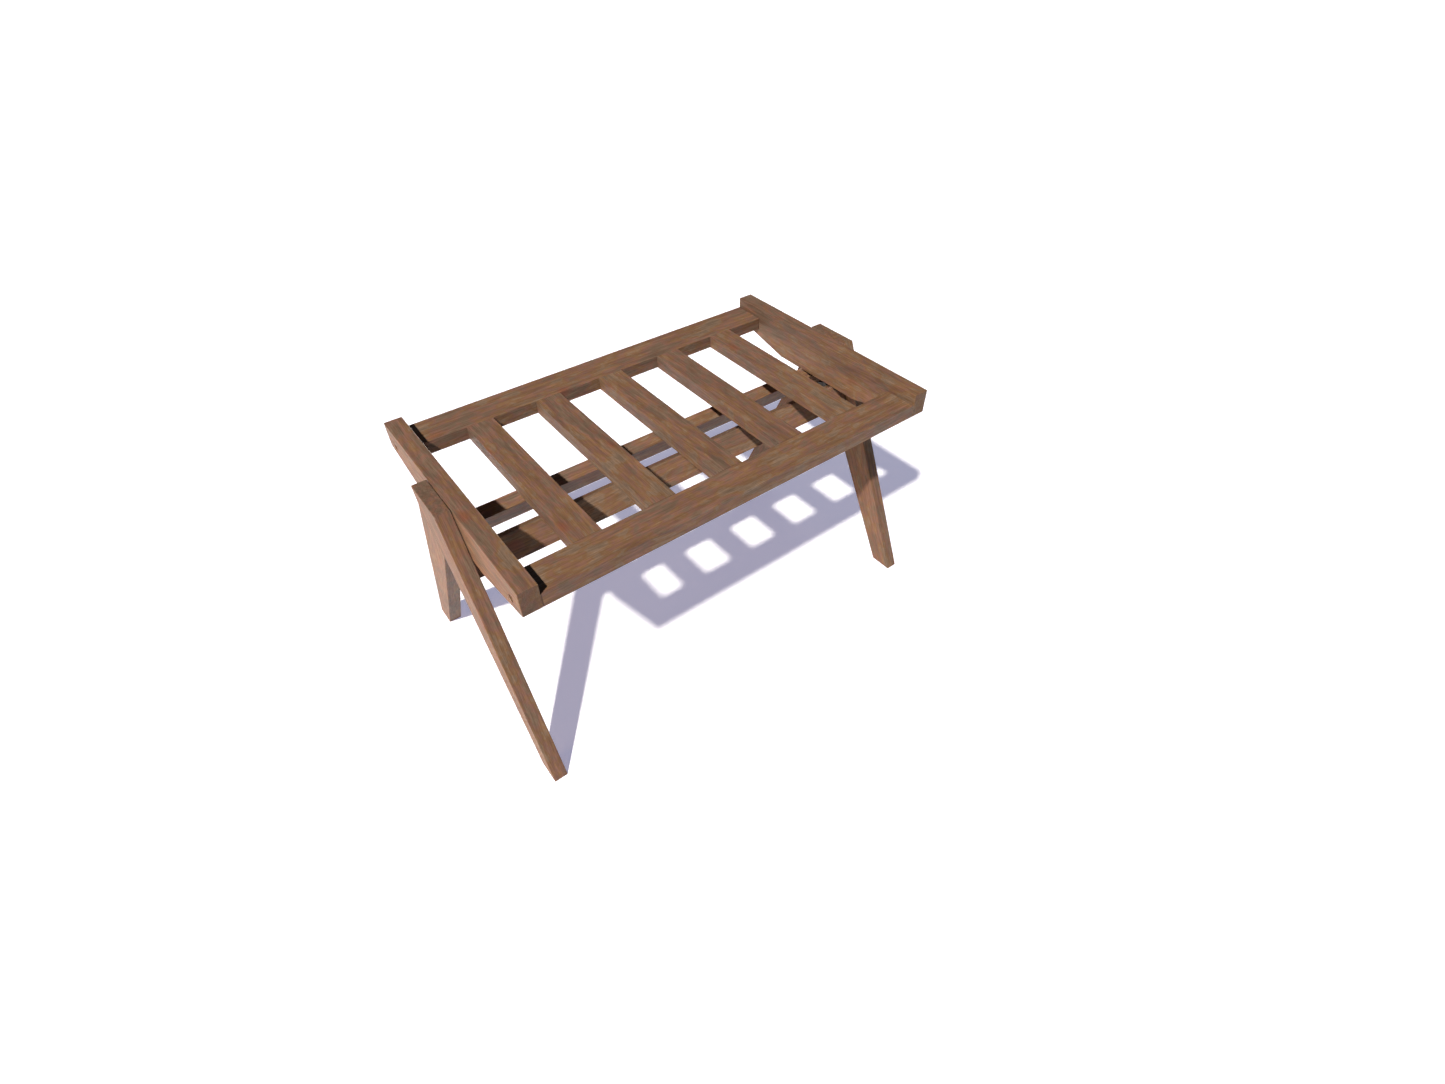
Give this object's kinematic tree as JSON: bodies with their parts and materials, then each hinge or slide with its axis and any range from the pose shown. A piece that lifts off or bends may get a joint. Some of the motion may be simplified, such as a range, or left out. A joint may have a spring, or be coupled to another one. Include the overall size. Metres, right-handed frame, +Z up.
{
  "type": "folding luggage rack",
  "caption": "Low wooden folding rack with a slatted tray turning between two splayed leg frames that close together.",
  "frame": {"origin": "centre of the footprint, on the floor", "axes": "+X along the tray to the right, +Y to the back, +Z up"},
  "size_m": [0.84, 0.488, 0.45],
  "materials": {
    "wood": "matt oiled hardwood with long grain",
    "dowel_wood": "plain turned hardwood",
    "steel": "blackened and rubbed",
    "washer": "nylon"
  },
  "bodies": {
    "front_frame": {"front_leg_left": "wood", "front_leg_right": "wood", "front_stretcher": "wood", "front_stretcher_dowels": "dowel_wood", "front_hinge_plate_left": "steel", "front_hinge_plate_right": "steel", "hinge_rivet_left": "steel", "hinge_rivet_right": "steel", "front_plate_screws": "steel"},
    "rear_frame": {"rear_leg_left": "wood", "rear_leg_right": "wood", "rear_stretcher": "wood", "rear_stretcher_dowels": "dowel_wood", "rear_hinge_plate_left": "steel", "rear_hinge_plate_right": "steel", "rear_plate_screws": "steel"},
    "tray": {"end_rail_left": "wood", "end_rail_right": "wood", "front_rail": "wood", "back_rail": "wood", "slat_1": "wood", "slat_2": "wood", "slat_3": "wood", "slat_4": "wood", "slat_5": "wood", "rail_dowels": "dowel_wood", "rail_bolts": "steel", "slat_dowels": "dowel_wood", "pivot_pin_left": "steel", "pivot_pin_right": "steel", "pivot_washer_left": "washer", "pivot_washer_right": "washer"}
  },
  "joints": [
    {"name": "rear_frame_fold", "type": "hinge", "parent": "front_frame", "child": "rear_frame", "pos_m": [0, -0.0035, 0.347], "axis": [-1, 0, 0], "range_deg": [0, 57]},
    {"name": "tray_tilt", "type": "hinge", "parent": "front_frame", "child": "tray", "pos_m": [0, 0.0095, 0.4], "axis": [-1, 0, 0], "range_deg": [0, 45.6]}
  ],
  "couplings": [
    {"joint": "tray_tilt", "follows": "rear_frame_fold", "ratio": 0.8}
  ]
}
